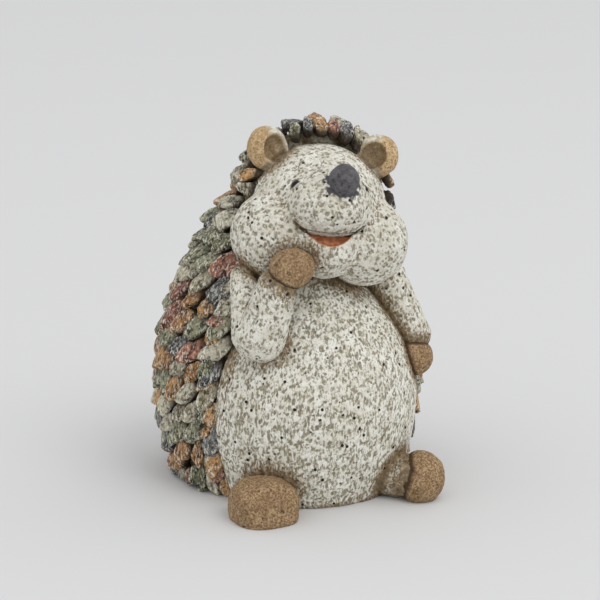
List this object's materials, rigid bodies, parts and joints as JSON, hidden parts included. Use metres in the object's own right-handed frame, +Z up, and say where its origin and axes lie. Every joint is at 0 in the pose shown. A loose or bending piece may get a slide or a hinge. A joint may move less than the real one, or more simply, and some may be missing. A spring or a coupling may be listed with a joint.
{
  "type": "hedgehog figurine",
  "caption": "Seated laughing hedgehog garden figurine in cast stone: one paw raised to the chin, pitted cream face and belly, overlapping coloured stone flakes for spines.",
  "frame": {"origin": "centre of the bounding box in plan, on the floor plane that the figurine stands on", "axes": "+Z up; the belly faces -Y; the figurine's own right side, with the raised paw, is -X"},
  "size_m": [0.18, 0.1996, 0.2372],
  "materials": {
    "cream_stone": "cast stone, painted cream white, pitted and speckled, brown wash in the creases, matte",
    "mantle_stone": "cast stone bed of the flakes, brown wash, matte",
    "hem_stone": "cast stone ridge with a brown wash, matte",
    "paw_stone": "cast stone painted tan brown, grainy, matte",
    "ear_stone": "cast stone painted tan with a cream rim, matte",
    "eye_black": "small black bead, slightly glossy",
    "nose_slate": "cast stone painted dark slate, satin",
    "mouth_rust": "cast stone painted rust, satin",
    "flake_cream": "cream and sage stone-look flakes, rough",
    "flake_olive": "olive grey stone-look flakes, rough",
    "flake_ochre": "ochre stone-look flakes, rough",
    "flake_charcoal": "charcoal slate-look flakes, rough",
    "flake_brick": "brick-red stone-look flakes, rough"
  },
  "bodies": {
    "root": {"arm_left": "cream_stone", "ear_left": "ear_stone", "ear_right": "ear_stone", "eye_left": "eye_black", "eye_right": "eye_black", "flakes_crown_brick": "flake_brick", "flakes_crown_charcoal": "flake_charcoal", "flakes_crown_cream": "flake_cream", "flakes_crown_ochre": "flake_ochre", "flakes_crown_olive": "flake_olive", "flakes_lower_back_brick": "flake_brick", "flakes_lower_back_charcoal": "flake_charcoal", "flakes_lower_back_cream": "flake_cream", "flakes_lower_back_ochre": "flake_ochre", "flakes_lower_back_olive": "flake_olive", "flakes_lower_left_brick": "flake_brick", "flakes_lower_left_charcoal": "flake_charcoal", "flakes_lower_left_cream": "flake_cream", "flakes_lower_left_ochre": "flake_ochre", "flakes_lower_left_olive": "flake_olive", "flakes_lower_right_brick": "flake_brick", "flakes_lower_right_charcoal": "flake_charcoal", "flakes_lower_right_cream": "flake_cream", "flakes_lower_right_ochre": "flake_ochre", "flakes_lower_right_olive": "flake_olive", "flakes_upper_back_brick": "flake_brick", "flakes_upper_back_charcoal": "flake_charcoal", "flakes_upper_back_cream": "flake_cream", "flakes_upper_back_ochre": "flake_ochre", "flakes_upper_back_olive": "flake_olive", "flakes_upper_left_brick": "flake_brick", "flakes_upper_left_charcoal": "flake_charcoal", "flakes_upper_left_cream": "flake_cream", "flakes_upper_left_ochre": "flake_ochre", "flakes_upper_left_olive": "flake_olive", "flakes_upper_right_brick": "flake_brick", "flakes_upper_right_charcoal": "flake_charcoal", "flakes_upper_right_cream": "flake_cream", "flakes_upper_right_ochre": "flake_ochre", "flakes_upper_right_olive": "flake_olive", "foot_left": "paw_stone", "foot_right": "paw_stone", "forearm_right": "cream_stone", "hand_left": "paw_stone", "hand_right": "paw_stone", "head": "cream_stone", "hem": "hem_stone", "leg_left": "cream_stone", "mantle": "mantle_stone", "mouth": "mouth_rust", "nose": "nose_slate", "trunk": "cream_stone", "upper_arm_right": "cream_stone"}
  },
  "joints": []
}
